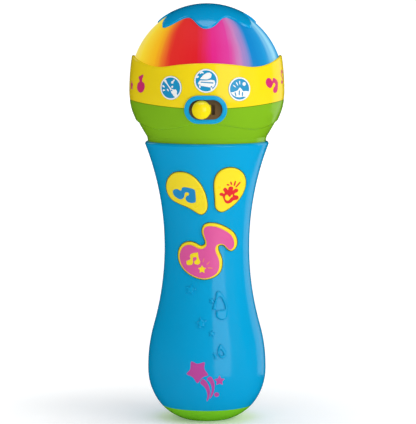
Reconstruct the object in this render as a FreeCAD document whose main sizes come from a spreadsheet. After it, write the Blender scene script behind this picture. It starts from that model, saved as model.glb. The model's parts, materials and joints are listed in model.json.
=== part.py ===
import FreeCAD, Part
import math
import os
import re

# A toy sing-along microphone.  Millimetres, +Z up, origin at the centre of the flat foot.
# The buttons face -Y, the battery door and the speaker grille face +Y.

V = FreeCAD.Vector

SIZES = [
    ("foot_radius", 13.0),          # flat ring that the toy stands on
    ("bulb_radius", 31.3),          # fattest place of the lower handle
    ("bulb_height", 26.5),
    ("foot_arc", 29.7),             # lower bulb, upper bulb and waist are three tangent arcs
    ("bulb_arc", 80.2),
    ("waist_arc", 152.0),
    ("waist_radius", 22.45),
    ("waist_height", 91.5),
    ("shell", 2.4),                 # handle wall
    ("handle_bottom", 7.5),         # seam between the base cap and the handle
    ("handle_top", 147.6),          # rim under the head
    ("head_radius", 40.9),
    ("head_height", 174.0),         # widest place of the head
    ("band_arc", 120.0),            # outline of the band, then two tangent arcs down the bowl
    ("bowl_arc", 28.0),
    ("bowl_joint", 162.0),
    ("chin_arc", 110.0),
    ("head_wall", 2.2),
    ("seam_front", 166.1),          # band seam at the front and at the sides
    ("seam_side", 170.3),
    ("dome_radius", 40.0),
    ("dome_height", 179.0),
    ("dome_wall", 1.8),
    ("dome_foot", 183.0),
    ("cap_wall", 0.85),
    ("cap_gap", 0.15),
    ("button_proud", 1.2),
    ("button_gap", 0.35),
    ("flange", 1.6),
    ("board_front", 3.6),           # front face of the main board, in front of the axis
    ("board_thick", 1.6),
    ("cell_radius", 7.25),          # AA cell
    ("cell_length", 50.5),
    ("cell_x", 7.6),
    ("cell_y", 7.6),
    ("cell_floor", 18.6),
    ("door_half", 16.1),
    ("door_low", 18.4),
    ("door_high", 79.6),
    ("door_gap", 0.4),
    ("switch_height", 165.7),
    ("switch_step", 2.2),           # pitch of the three switch positions
    ("knob_radius", 4.8),
    ("speaker_radius", 14.5),
    ("speaker_height", 160.0),
    ("led_radius", 2.5),
    ("screw_radius", 1.3),
    ("post_radius", 3.0),
    ("sticker_radius", 6.1),
]

doc = FreeCAD.newDocument("toy_microphone")
sheet = doc.addObject("Spreadsheet::Sheet", "sizes")
for row, (alias, number) in enumerate(SIZES, start=1):
    sheet.set(f"A{row}", alias)
    sheet.set(f"B{row}", str(number))
    sheet.setAlias(f"B{row}", alias)
doc.recompute()
ALIASES = {alias for alias, _ in SIZES}
SIZE = {alias: float(getattr(sheet, alias)) for alias in ALIASES}
NODES = []


# ---------------------------------------------------------------- small helpers

def linked(formula):
    """Point every alias in a formula at its cell of the sheet."""
    return re.sub(r"[a-z_]+", lambda word: f"sizes.{word.group()}" if word.group() in ALIASES
                  else word.group(), formula)


def bind(item, **sizes):
    """Give properties their numbers; a text is a formula of sheet aliases."""
    for prop, size in sizes.items():
        if isinstance(size, str):
            item.setExpression(prop, linked(size))
        else:
            setattr(item, prop, size)
    return item


def put(item, at=(0, 0, 0), axis=(0, 0, 1)):
    """Place an item; each coordinate is a number or a formula, axis is where its own Z points."""
    turn = FreeCAD.Rotation(V(0, 0, 1), V(*axis))
    start = [0.0 if isinstance(part, str) else part for part in at]
    item.Placement = FreeCAD.Placement(V(*start), turn)
    for name, part in zip("xyz", at):
        if isinstance(part, str):
            item.setExpression(f"Placement.Base.{name}", linked(part))
    return item


def rod(name, radius, height, at=(0, 0, 0), axis=(0, 0, 1)):
    return put(bind(doc.addObject("Part::Cylinder", name), Radius=radius, Height=height), at, axis)


def block(name, size, at):
    item = doc.addObject("Part::Box", name)
    return put(bind(item, Length=size[0], Width=size[1], Height=size[2]), at)


def taper(name, low, high, height, at=(0, 0, 0), axis=(0, 0, 1)):
    item = doc.addObject("Part::Cone", name)
    return put(bind(item, Radius1=low, Radius2=high, Height=height), at, axis)


def fuse(name, *items):
    item = doc.addObject("Part::MultiFuse", name)
    item.Shapes = list(items)
    return item


def common(name, *items):
    item = doc.addObject("Part::MultiCommon", name)
    item.Shapes = list(items)
    return item


def cut(name, base, *tools):
    item = doc.addObject("Part::Cut", name)
    item.Base = base
    item.Tool = tools[0] if len(tools) == 1 else fuse(f"{name}_tools", *tools)
    return item


def rounded(name, base, radius, wanted):
    """Round the edges of a solid whose middle point passes a test."""
    doc.recompute()
    picks = []
    for index, edge in enumerate(base.Shape.Edges, start=1):
        if wanted(edge.valueAt((edge.FirstParameter + edge.LastParameter) / 2)):
            picks.append((index, radius, radius))
    item = doc.addObject("Part::Fillet", name)
    item.Base = base
    item.Edges = picks
    return item


def gather(name, *items):
    """Several equal pieces, such as screws, kept as one node."""
    item = doc.addObject("Part::Compound", name)
    item.Links = list(items)
    return item


def node(name, item):
    item.Label = name
    NODES.append((name, item))
    return item


def plane(body, role):
    return next(face for face in body.Origin.OriginFeatures if face.Role == role)


def edges(path):
    """Lines and arcs of a closed path.  An entry is a corner (a, b), or ((a, b), (a, b)):
    a point that an arc passes through and the corner where it ends."""
    corners = [entry[-1] if isinstance(entry[0], tuple) else entry for entry in path]
    found = []
    for index, entry in enumerate(path):
        last = V(*corners[index - 1], 0)
        here = V(*corners[index], 0)
        if isinstance(entry[0], tuple):
            found.append(Part.Arc(last, V(*entry[0], 0), here))
        elif (here - last).Length > 1e-6:
            found.append(Part.LineSegment(last, here))
    return found


def spun(name, path):
    """A PartDesign body turned about Z from a half section of (radius, height) corners."""
    body = doc.addObject("PartDesign::Body", name)
    sketch = body.newObject("Sketcher::SketchObject", f"{name}_section")
    sketch.AttachmentSupport = [(plane(body, "XZ_Plane"), "")]
    sketch.MapMode = "FlatFace"
    for edge in edges(path):
        sketch.addGeometry(edge, False)
    turn = body.newObject("PartDesign::Revolution", f"{name}_turn")
    turn.Profile = sketch
    turn.ReferenceAxis = (sketch, ["V_Axis"])
    turn.Angle = 360.0
    body.Tip = turn
    return body


def front_sketch(name, curves):
    """A free sketch drawn in the XZ plane, as seen from the front."""
    sketch = doc.addObject("Sketcher::SketchObject", name)
    sketch.Placement = FreeCAD.Placement(V(0, 0, 0), FreeCAD.Rotation(V(1, 0, 0), 90))
    for curve in curves:
        sketch.addGeometry(curve, False)
    return sketch


def prism(name, sketch, front=60.0, back=0.0):
    """A sketch pushed out from y = -back to y = -front."""
    item = doc.addObject("Part::Extrusion", name)
    item.Base = sketch
    item.DirMode = "Custom"
    item.Dir = V(0, -1, 0)
    item.Solid = True
    return bind(item, LengthFwd=front, LengthRev=-back)


def whole_loop(points):
    loop = Part.BSplineCurve()
    loop.interpolate(Points=[V(a, b, 0) for a, b in points], PeriodicFlag=True)
    return loop


def grown(points, amount):
    """Points of a clockwise outline moved outwards; those that a notch would cross are dropped."""
    loop = whole_loop(points)
    edge = loop.toShape()
    moved = []
    for a, b in points:
        along = loop.tangent(loop.parameter(V(a, b, 0)))[0]
        spot = V(a - amount * along.y, b + amount * along.x, 0)
        if edge.distToShape(Part.Vertex(spot))[0] > abs(amount) - 0.02:
            moved.append((spot.x, spot.y))
    return moved


def smooth_loop(points, spans=4):
    """A closed smooth curve through the points, as a few spans end to end."""
    loop = whole_loop(points)
    first = loop.FirstParameter
    step = (loop.LastParameter - first) / spans
    pieces = []
    for i in range(spans):
        piece = loop.copy()
        piece.segment(first + i * step, first + (i + 1) * step)
        pieces.append(piece)
    return pieces


def oval(a, b, centre):
    """Round-ended slot of half length a and half height b."""
    x, z = centre
    side = a - b
    path = [(x - side, z + b), (x + side, z + b), ((x + a, z), (x + side, z - b)),
            (x - side, z - b), ((x - a, z), (x - side, z + b))]
    return edges(path)


# ---------------------------------------------------------------- outlines of the shells

def handle_radius(z, grow=0.0):
    """Outer radius of the handle at a height; grow moves the surface outwards."""
    foot = SIZE["foot_arc"] + grow
    bulb = SIZE["bulb_arc"] + grow
    waist = SIZE["waist_arc"] - grow
    if z <= SIZE["bulb_height"]:
        inset = SIZE["bulb_radius"] - SIZE["foot_arc"]
        return inset + math.sqrt(foot ** 2 - (SIZE["bulb_height"] - z) ** 2)
    if z <= SHOULDER:
        return SIZE["bulb_radius"] + grow
    if z <= shoulder_end(grow):
        return SIZE["bulb_radius"] - SIZE["bulb_arc"] + math.sqrt(bulb ** 2 - (z - SHOULDER) ** 2)
    centre = SIZE["waist_radius"] + SIZE["waist_arc"]
    return centre - math.sqrt(waist ** 2 - (z - SIZE["waist_height"]) ** 2)


SHOULDER = SIZE["bulb_height"] + 1.5


def shoulder_end(grow):
    """Height where the bulb arc runs into the waist arc."""
    share = (SIZE["bulb_arc"] + grow) / (SIZE["bulb_arc"] + SIZE["waist_arc"])
    return SHOULDER + share * (SIZE["waist_height"] - SHOULDER)


def handle_path(low, high, grow=0.0):
    """Arcs of the handle's outline from one height to another, either way up."""
    knots = [SIZE["bulb_height"], SHOULDER, shoulder_end(grow)]
    inside = [z for z in knots if min(low, high) < z < max(low, high)]
    stops = sorted(inside, reverse=low > high) + [high]
    path = [(handle_radius(low, grow), low)]
    for z in stops:
        middle = (path[-1][-1] if not isinstance(path[-1][-1], tuple) else path[-1][-1][1]) + z
        half = middle / 2
        end = (handle_radius(z, grow), z)
        if SIZE["bulb_height"] <= half <= SHOULDER:
            path.append(end)
        else:
            path.append(((handle_radius(half, grow), half), end))
    return path


def handle_layer(name, low, high, outer, inner):
    """A shell of the handle's shape between two offsets of its outer surface."""
    return spun(name, handle_path(low, high, outer) + handle_path(high, low, inner))


CHIN_SLOPE = (SIZE["head_height"] - SIZE["bowl_joint"]) / SIZE["bowl_arc"]


def bowl_joint(grow):
    """Height where the bowl's two arcs meet."""
    return SIZE["head_height"] - (SIZE["bowl_arc"] + grow) * CHIN_SLOPE


def head_radius(z, grow=0.0):
    """Outer radius of the head at a height; grow moves the surface outwards."""
    widest = SIZE["head_height"]
    if z >= widest:
        arc = SIZE["band_arc"]
        return SIZE["head_radius"] - arc + math.sqrt((arc + grow) ** 2 - (z - widest) ** 2)
    arc = SIZE["bowl_arc"]
    centre = SIZE["head_radius"] - arc
    if z >= bowl_joint(grow):
        return centre + math.sqrt((arc + grow) ** 2 - (widest - z) ** 2)
    apart = SIZE["chin_arc"] - arc
    return (centre - apart * math.sqrt(1 - CHIN_SLOPE ** 2)
            + math.sqrt((arc + apart + grow) ** 2 - (widest + apart * CHIN_SLOPE - z) ** 2))


def head_path(low, high, grow=0.0):
    """Arcs of the head's outline from one height to another, either way up."""
    inside = [z for z in (bowl_joint(grow), SIZE["head_height"])
              if min(low, high) < z < max(low, high)]
    path = [(head_radius(low, grow), low)]
    last = low
    for z in sorted(inside, reverse=low > high) + [high]:
        half = (last + z) / 2
        path.append(((head_radius(half, grow), half), (head_radius(z, grow), z)))
        last = z
    return path


def head_solid(name, low, high, grow):
    """Everything inside the head's outer surface between two heights."""
    return spun(name, [(0, low)] + head_path(low, high, grow) + [(0, high)])


# ---------------------------------------------------------------- button outlines (x, z)

LEFT_BUTTON = [
    (-13.9, 132.9), (-9.7, 132.2), (-6.0, 129.8), (-3.1, 126.3), (-1.0, 122.1), (0.2, 117.1),
    (-0.3, 112.6), (-2.6, 110.7), (-6.0, 112.1), (-10.2, 114.4), (-14.9, 116.2), (-18.6, 118.4),
    (-20.8, 122.1), (-21.1, 126.0), (-19.7, 129.8), (-17.3, 132.1)]
RIGHT_BUTTON = [
    (12.3, 135.3), (16.0, 134.3), (19.0, 131.6), (20.3, 127.6), (19.8, 123.7), (18.0, 119.8),
    (15.0, 116.2), (11.2, 113.4), (7.3, 112.0), (4.9, 113.6), (4.2, 118.1), (3.8, 123.4),
    (3.8, 127.7), (5.0, 131.6), (8.0, 134.4)]
NOTE_BUTTON = [
    (1.5, 106.2), (5.2, 105.8), (9.9, 103.8), (13.9, 100.7), (15.7, 96.7), (15.0, 92.7),
    (12.6, 91.2), (10.2, 92.7), (7.8, 94.6), (6.3, 94.2), (6.0, 92.2), (7.4, 88.7), (8.0, 84.5),
    (6.7, 80.2), (2.9, 77.5), (-2.1, 76.7), (-7.4, 78.2), (-12.1, 81.5), (-14.7, 86.2),
    (-14.7, 91.2), (-12.6, 94.8), (-9.0, 96.2), (-5.3, 95.2), (-2.6, 94.2), (-1.0, 95.2),
    (-1.5, 98.2), (-2.5, 102.1), (-1.5, 105.1)]
BUTTONS = [
    ("left_button", LEFT_BUTTON, (-10.5, 122.4)),
    ("right_button", RIGHT_BUTTON, (11.7, 123.9)),
    ("note_button", NOTE_BUTTON, (-3.3, 86.7)),
]
OUTLINES = {name: points for name, points, _ in BUTTONS}


def outline(name, button_name, amount=0.0):
    """Sketch of a button's outline, grown outwards by an amount."""
    points = OUTLINES[button_name]
    return front_sketch(name, smooth_loop(grown(points, amount) if amount else points))


# Screw posts of the handle: x, height and where the screw head's seat lies behind the axis.
HANDLE_POSTS = [(side * x, z, seat) for x, z, seat in
                [(20.4, 137.8, 15.5), (17.0, 106.5, 9.8), (12.0, 13.5, 20.0)] for side in (-1, 1)]
# Posts that carry the main board.
BOARD_POSTS = [(-13.5, 77.2), (13.5, 77.2), (0.0, 136.5)]


# Where the switch board's two screws stand, left and right.
SWITCH_POSTS = (-14.5, 14.5)


# ---------------------------------------------------------------- handle

def handle_half(name, back):
    """Wall of one half of the handle, with a rounded rim under the head."""
    low = SIZE["handle_bottom"]
    high = SIZE["handle_top"]
    rim = high - 1.4
    path = handle_path(low, rim)
    path += [((handle_radius(rim) - 0.35, high - 0.45), (handle_radius(rim) - 1.3, high))]
    path += handle_path(high, low, -SIZE["shell"])
    side = block(f"{name}_side", (80, 40, 150), (-40, 0.05 if back else -40.05, 0))
    return common(f"{name}_wall", spun(f"{name}_turned", path), side)


def inside_handle(name):
    """Room that the posts may fill, ending a little inside the outer surface."""
    path = handle_path(SIZE["handle_bottom"] + 0.5, SIZE["handle_top"] - 3, -0.8)
    return spun(name, [(0, SIZE["handle_bottom"] + 0.5)] + path + [(0, SIZE["handle_top"] - 3)])


def handle_front_shell():
    posts = [rod(f"front_post_{i}", "post_radius", 39.9, (x, -0.1, z), (0, -1, 0))
             for i, (x, z, _) in enumerate(HANDLE_POSTS)]
    posts += [rod(f"board_post_{i}", 2.2, 30, (x, "-board_front", z), (0, -1, 0))
              for i, (x, z) in enumerate(BOARD_POSTS)]
    inner = common("front_posts", fuse("front_post_rods", *posts), inside_handle("front_room"))
    holes = [prism(f"{name}_opening", outline(f"{name}_gap", name, SIZE["button_gap"]), 45, 5)
             for name, _, _ in BUTTONS]
    holes += [rod(f"front_pilot_{i}", "screw_radius", 9.0, (x, 0.5, z), (0, -1, 0))
              for i, (x, z) in enumerate([post[:2] for post in HANDLE_POSTS] + BOARD_POSTS)]
    shell = fuse("front_shell_solid", handle_half("front_half", False), inner)
    return node("handle_front_shell", cut("handle_front_shell", shell, *holes))


def door_box(name, grow):
    """Straight-sided block that the door or its opening is cut with."""
    return block(name, (f"2 * (door_half + {grow})", 40, f"door_high - door_low + 2 * {grow}"),
                 (f"-door_half - {grow}", 2, f"door_low - {grow}"))


def handle_back_shell():
    posts = [rod(f"back_post_{i}", "post_radius + 0.6", 40, (x, 0.1, z), (0, 1, 0))
             for i, (x, z, _) in enumerate(HANDLE_POSTS)]
    inner = common("back_posts", fuse("back_post_rods", *posts), inside_handle("back_room"))
    rim = cut("door_rim", common("door_rim_layer", door_box("door_rim_block", 2.2),
                                 handle_layer("door_rim_skin", 12, 86, -2.3, -3.7)),
              door_box("door_rim_hole", -1.4))
    wall = cut("back_wall", handle_half("back_half", True), door_box("door_opening", "door_gap"))
    seats = [rod(f"screw_seat_{i}", 2.8, 30, (x, seat, z), (0, 1, 0))
             for i, (x, z, seat) in enumerate(HANDLE_POSTS)]
    shanks = [rod(f"screw_way_{i}", "screw_radius + 0.2", 30, (x, 0, z), (0, 1, 0))
              for i, (x, z, _) in enumerate(HANDLE_POSTS)]
    shell = fuse("back_shell_solid", wall, rim, inner)
    return node("handle_back_shell", cut("handle_back_shell", shell, *seats, *shanks))


def screw(name, at, axis, length, head=2.5):
    """Pan-head screw: at is the underside of its head and axis is where it is driven."""
    away = tuple(-part for part in axis)
    shank = rod(f"{name}_shank", "screw_radius", length, at, axis)
    pan = taper(f"{name}_pan", head, head * 0.72, 1.7, at, away)
    top = tuple(a + 1.8 * b for a, b in zip(at, away))
    drive = rod(f"{name}_drive", head * 0.3, 1.1, top, axis)
    return fuse(name, shank, cut(f"{name}_head", pan, drive))


def handle_screws():
    screws = [screw(f"handle_screw_{i}", (x, seat, z), (0, -1, 0), seat + 6.5)
              for i, (x, z, seat) in enumerate(HANDLE_POSTS)]
    return node("handle_screws", gather("handle_screws", *screws))


def base_cap():
    low = SIZE["handle_bottom"]
    foot = (SIZE["foot_radius"], 0)
    path = [(0, 0), foot, ((19.2, 3.0), (handle_radius(low), low)), (20.9, low),
            (20.9, low + 2.3), (18.9, low + 2.3), (18.9, 6.0), (12.5, 2.4), (0, 2.4)]
    return node("base_cap", spun("base_cap", path))


# ---------------------------------------------------------------- head

def seam_block(name, low, rise):
    """Block under the band seam, pushed through from front to back."""
    front = SIZE["seam_front"] + rise
    side = SIZE["seam_side"] + rise
    path = [(-45, low), (45, low), (45, side), ((0, front), (-45, side))]
    return prism(name, front_sketch(f"{name}_sketch", edges(path)), 50, -50)


def grille_holes():
    """Rings of small holes over the speaker, drilled from behind."""
    places = [(0.0, 0.0)]
    for ring in (1, 2, 3):
        for step in range(6 * ring):
            angle = 2 * math.pi * step / (6 * ring)
            places.append((2.6 * ring * math.cos(angle), 2.6 * ring * math.sin(angle)))
    return [rod(f"grille_hole_{i}", 0.85, 30, (x, 22, SIZE["speaker_height"] - 1 + z), (0, 1, 0))
            for i, (x, z) in enumerate(places)]


def head_bowl():
    wall = SIZE["head_wall"]
    neck = SIZE["handle_top"]
    top = SIZE["seam_side"] + 1
    path = [(31.1, neck)] + head_path(neck + 2.4, top) + head_path(top, neck + 3.5, -wall)
    path += [(27.8, neck), (25.7, neck - 6), (27.9, neck - 6), (30.0, neck)]
    shell = common("bowl_shell", spun("bowl_turned", path), seam_block("bowl_below_seam", 130, 0))
    lip = spun("bowl_lip", [(36.4, 162), (38.2, 164.5), (38.2, 171.5), (36.4, 171.5)])
    tube = cut("speaker_tube", rod("speaker_tube_out", "speaker_radius + 2", 30,
                                   (0, 20, "speaker_height"), (0, 1, 0)),
               rod("speaker_tube_in", "speaker_radius + 0.3", 30, (0, 19, "speaker_height"),
                   (0, 1, 0)))
    posts = []
    pilots = []
    for i, x in enumerate(SWITCH_POSTS):
        posts.append(rod(f"switch_post_{i}", 2.2, 12, (x, -30, "switch_height"), (0, -1, 0)))
        pilots.append(rod(f"switch_pilot_{i}", "screw_radius", 4, (x, -29.5, "switch_height"),
                          (0, -1, 0)))
    room = common("bowl_posts", fuse("bowl_extras", tube, *posts), bowl_room("bowl_room"))
    body = fuse("bowl_body", shell, lip, room)
    way = prism("bowl_switch_way", SWITCH_TUBE, 60, 20)
    return node("head_bowl", cut("head_bowl", body, way, *pilots, *grille_holes()))


def bowl_room(name):
    """Inside of the bowl, ending within its wall."""
    return head_solid(name, SIZE["handle_top"] + 3, SIZE["seam_front"], -1.2)


def wave_block(name):
    """Everything above the band's wavy top edge: a crest in front, a valley to each side."""
    crest = (0, 189.4)
    start = (20.36, 187.7)
    valley = (24.0, 187.4)
    rise = (42.0, 196.75)
    top = 215
    path = [(-rise[0], top), (-rise[0], rise[1]), ((-valley[0], valley[1]), (-start[0], start[1])),
            (crest, start), (valley, rise), (rise[0], top)]
    return prism(name, front_sketch(f"{name}_sketch", edges(path)), 50, -50)


def head_band():
    low = 164.0
    high = 198.0
    path = head_path(low, high)
    path += [(36.4, high), (38.6, 190.0), (39.7, 185.0), (39.7, 172.0), (38.6, 166.0),
             (37.4, low)]
    band = spun("band_turned", path)
    way = prism("band_switch_way", SWITCH_TUBE, 60, 20)
    sharp = cut("band_sharp", band, seam_block("band_below_seam", 140, 0.15),
                wave_block("band_above_wave"), way)
    lip = SIZE["dome_foot"] + 3
    return node("head_band", rounded(
        "head_band", sharp, 0.8,
        lambda spot: spot.z > lip and math.hypot(spot.x, spot.y) > head_radius(spot.z) - 0.05))


def light_dome():
    radius = SIZE["dome_radius"]
    inner = radius - SIZE["dome_wall"]
    centre = SIZE["dome_height"]
    foot = SIZE["dome_foot"]
    edge = foot + 2

    def at(ball, z):
        return (math.sqrt(ball ** 2 - (z - centre) ** 2), z)

    hole = 2.8
    top_out = (hole, centre + math.sqrt(radius ** 2 - hole ** 2))
    top_in = (hole, centre + math.sqrt(inner ** 2 - hole ** 2))
    path = [(39.5, foot), at(radius, edge), (at(radius, centre + 28), top_out), top_in,
            (at(inner, centre + 27), at(inner, edge)), (36.2, edge), (36.2, foot)]
    return node("light_dome", spun("light_dome", path))


def dome_cap():
    """Seven-lobed cap clipped on top of the dome by a central pin."""
    centre = SIZE["dome_height"]
    low = SIZE["dome_radius"] + SIZE["cap_gap"]
    ball = low + SIZE["cap_wall"]
    foot = centre + 26
    shell = spun("cap_shell", [
        (0, centre + low), (0, centre + ball),
        ((math.sqrt(ball ** 2 - 35 ** 2), centre + 35), (math.sqrt(ball ** 2 - 26 ** 2), foot)),
        (math.sqrt(low ** 2 - 26 ** 2), foot),
        ((math.sqrt(low ** 2 - 35 ** 2), centre + 35), (0, centre + low))])
    count = 28
    points = []
    for step in range(count):
        turn = 2 * math.pi * step / count
        slope = math.radians(39.0 + 6.0 * math.cos(7 * turn) - 5.5 * math.sin(turn) ** 8)
        reach = ball * math.sin(slope)
        points.append((reach * math.sin(turn), -reach * math.cos(turn)))
    sketch = doc.addObject("Sketcher::SketchObject", "cap_lobes")
    sketch.Placement.Base = V(0, 0, centre + 20)
    for curve in smooth_loop(points, 7):
        sketch.addGeometry(curve, False)
    lobes = doc.addObject("Part::Extrusion", "cap_lobe_block")
    lobes.Base = sketch
    lobes.DirMode = "Custom"
    lobes.Dir = V(0, 0, 1)
    lobes.LengthFwd = 30
    lobes.Solid = True
    pin = rod("cap_pin", 2.5, 8, (0, 0, centre + low - 7.5))
    barb = taper("cap_barb", 2.0, 3.3, 1.6, (0, 0, centre + low - 7.5))
    lobed = rounded("cap_rounded", common("cap_lobed", shell, lobes), 0.45,
                    lambda spot: spot.z < centre + ball - 2.5
                    and (spot - V(0, 0, centre)).Length > ball - 0.05)
    return node("dome_cap", fuse("dome_cap", lobed, pin, barb))


STICKERS = [("sticker_guitar", -26.8, 176.8), ("sticker_piano", -0.5, 180.5),
            ("sticker_stage", 24.2, 176.2)]


def stickers():
    """Round printed labels that follow the band's curve."""
    thick = 0.25
    for name, azimuth, height in STICKERS:
        turn = math.radians(azimuth)
        out = (math.sin(turn), -math.cos(turn), 0)
        low = height - 8
        high = height + 8
        skin = spun(f"{name}_skin", head_path(low, high, thick) + head_path(high, low))
        disc = rod(f"{name}_disc", "sticker_radius", 20, (out[0] * 30, out[1] * 30, height), out)
        node(name, common(name, skin, disc))


# ---------------------------------------------------------------- switch

SWITCH_X = -0.6
SWITCH_CENTRE = (SWITCH_X, SIZE["switch_height"])
SWITCH_TUBE = front_sketch("switch_tube", oval(9.9, 6.2, SWITCH_CENTRE))


def switch_bezel():
    outer = front_sketch("bezel_outer", oval(11.0, 7.3, SWITCH_CENTRE))
    inner = front_sketch("bezel_inner", oval(8.6, 5.1, SWITCH_CENTRE))
    proud = 1.3
    ring = cut("bezel_sharp", common("bezel_face", prism("bezel_block", outer, 60, 25),
                                    head_solid("bezel_outside", 150, 182, proud)),
               head_solid("bezel_inside", 148, 184, 0.02), prism("bezel_face_hole", inner, 60, 20))
    ring = rounded("bezel_ring", ring, 0.7,
                   lambda spot: math.hypot(spot.x, spot.y) > head_radius(spot.z, proud) - 0.05)
    tube = common("bezel_tube", prism("bezel_tube_block", SWITCH_TUBE, 60, 34.3),
                  head_solid("bezel_tube_end", 150, 182, proud - 0.4))
    return node("switch_bezel", cut("switch_bezel", fuse("bezel_body", ring, tube),
                                    prism("bezel_hole", inner, 60, 20)))


def switch_slot_plate():
    """Fixed plate inside the bezel, with the slot that the knob's neck runs in."""
    plate = prism("slot_plate_block", front_sketch("slot_plate", oval(8.5, 5.0, SWITCH_CENTRE)),
                  38.4, 37.4)
    slot = block("slot_plate_slot", ("2 * switch_step + 5", 10, 5),
                 (f"{SWITCH_X} - switch_step - 2.5", -42, "switch_height - 2.5"))
    return node("switch_slot_plate", cut("switch_slot_plate", plate, slot))


def slider_knob():
    """Domed knob, its neck and the carriage behind the slot, at the left-hand position."""
    x = SWITCH_X - SIZE["switch_step"]
    radius = SIZE["knob_radius"]
    rise = 2.6
    flare = 1.1
    ball = (radius ** 2 + rise ** 2) / (2 * rise)
    half = math.asin(radius / ball) / 2
    crown = (ball * math.sin(half), flare + rise - ball * (1 - math.cos(half)))
    path = [(0, 0), (radius - 0.3, 0), (radius, 0.3), (radius, flare), (crown, (0, flare + rise))]
    head = put(spun("knob_head", path), (x, -39.3, "switch_height"), (0, -1, 0))
    neck = rod("knob_neck", 2.2, 3.2, (x, -36.2, "switch_height"), (0, -1, 0))
    carriage = block("knob_carriage", (10, 1.1, 6), (x - 5, -36.9, "switch_height - 3"))
    return node("slider_knob", fuse("slider_knob", head, neck, carriage))


def slide_switch():
    case = block("switch_case", (12.5, 4.2, 5.0), (SWITCH_X - 6.25, -34.2, "switch_height - 2.5"))
    node("slide_switch_body", case)
    lever = block("switch_lever", (2.0, 1.6, 2.2),
                  (f"{SWITCH_X - 1} - switch_step", -35.8, "switch_height - 1.1"))
    node("slide_switch_lever", lever)
    board = block("switch_board_plate", (34, 1.4, 11), (-17, -30, "switch_height - 5.5"))
    holes = [rod(f"switch_board_hole_{i}", 1.5, 4, (x, -31, "switch_height"), (0, 1, 0))
             for i, x in enumerate(SWITCH_POSTS)]
    node("switch_board", cut("switch_board", board, *holes))
    screws = [screw(f"switch_screw_{i}", (x, -28.6, SIZE["switch_height"]), (0, -1, 0), 4.5, 2.2)
              for i, x in enumerate(SWITCH_POSTS)]
    node("switch_board_screws", gather("switch_board_screws", *screws))


# ---------------------------------------------------------------- buttons

def button(name, centre):
    """Cap that stands proud of the handle, with a hidden flange and a plunger."""
    shell = SIZE["shell"]
    proud = SIZE["button_proud"]
    sharp = common(f"{name}_sharp", prism(f"{name}_block", outline(f"{name}_outline", name), 45, 3),
                   handle_layer(f"{name}_skin", 66, 142, proud, -shell - 1.5))
    cap = rounded(f"{name}_cap", sharp, 0.8,
                  lambda spot: math.hypot(spot.x, spot.y) > handle_radius(spot.z, proud) - 0.05)
    wide = outline(f"{name}_wide", name, SIZE["flange"])
    flange = common(f"{name}_flange", prism(f"{name}_wide_block", wide, 45, 3),
                    handle_layer(f"{name}_wide_skin", 66, 142, -shell - 0.3, -shell - 1.5))
    x, z = centre
    reach = -handle_radius(z, -shell - 1.0)
    depth = math.sqrt(reach ** 2 - x ** 2)
    tip = SIZE["board_front"] + 2.6
    plunger = rod(f"{name}_plunger", 2.2, depth - tip, (x, -tip, z), (0, -1, 0))
    return node(name, fuse(name, cap, flange, plunger))


def contact_dome(name, centre):
    """Silicone dome on the board that springs its button back."""
    x, z = centre
    return node(name, taper(name, 4.2, 2.4, 2.6, (x, "-board_front", z), (0, -1, 0)))


def note_button_inlay():
    """Second-colour face of the note button, set in from its edge and nudged sideways."""
    face = put(prism("inlay_block", outline("inlay_outline", "note_button", -1.15), 45, 3),
               (-0.35, 0, -0.5))
    skin = handle_layer("inlay_skin", 66, 112, SIZE["button_proud"] + 0.3,
                        SIZE["button_proud"])
    return node("note_button_inlay", common("note_button_inlay", face, skin))


def buttons():
    for name, _, centre in BUTTONS:
        button(name, centre)
        contact_dome(f"{name}_dome", centre)
    note_button_inlay()


# ---------------------------------------------------------------- electronics

def main_board():
    plate = block("board_plate", (33, "board_thick", 70), (-16.5, "-board_front", 69.5))
    notches = [rod(f"board_notch_{i}", "post_radius + 1.3", 10, (x, -8, z), (0, 1, 0))
               for i, (x, z, _) in enumerate(HANDLE_POSTS[:4])]
    holes = [rod(f"board_hole_{i}", 1.5, 10, (x, -8, z), (0, 1, 0))
             for i, (x, z) in enumerate(BOARD_POSTS)]
    node("main_board", cut("main_board", plate, *notches, *holes))
    behind = "-board_front + board_thick"
    node("sound_chip", block("sound_chip", (13, 1.8, 13), (-6.5, behind, 108)))
    cans = [rod(f"capacitor_{i}", 2.5, 6.5, (x, behind, z), (0, 1, 0))
            for i, (x, z) in enumerate([(-9, 95), (-3, 95), (9, 126)])]
    node("capacitors", gather("capacitors", *cans))
    seat = -SIZE["board_front"] + SIZE["board_thick"]
    screws = [screw(f"board_screw_{i}", (x, seat, z), (0, -1, 0), 6, 2.2)
              for i, (x, z) in enumerate(BOARD_POSTS)]
    node("board_screws", gather("board_screws", *screws))


def speaker():
    z = "speaker_height"
    rim = cut("speaker_rim", rod("speaker_rim_out", "speaker_radius", 3.4, (0, 21, z), (0, 1, 0)),
              rod("speaker_rim_in", "speaker_radius - 1.6", 2.4, (0, 22.6, z), (0, 1, 0)),
              rod("speaker_rim_core", 9.4, 6, (0, 18, z), (0, 1, 0)))
    node("speaker_frame", rim)
    node("speaker_magnet", rod("speaker_magnet", 8.5, 7.5, (0, 13.2, z), (0, 1, 0)))
    wide = taper("cone_wide", 4.2, "speaker_radius - 1.8", 2.0, (0, 22.0, z), (0, 1, 0))
    deep = taper("cone_deep", 3.8, "speaker_radius - 2.4", 2.0, (0, 22.5, z), (0, 1, 0))
    coil = rod("cone_coil", 4.0, 1.4, (0, 20.7, z), (0, 1, 0))
    node("speaker_cone", fuse("speaker_cone", cut("cone_sheet", wide, deep), coil))


LEDS = [("led_yellow", 215), ("led_red", 255), ("led_pink", 285), ("led_blue", 325)]


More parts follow.
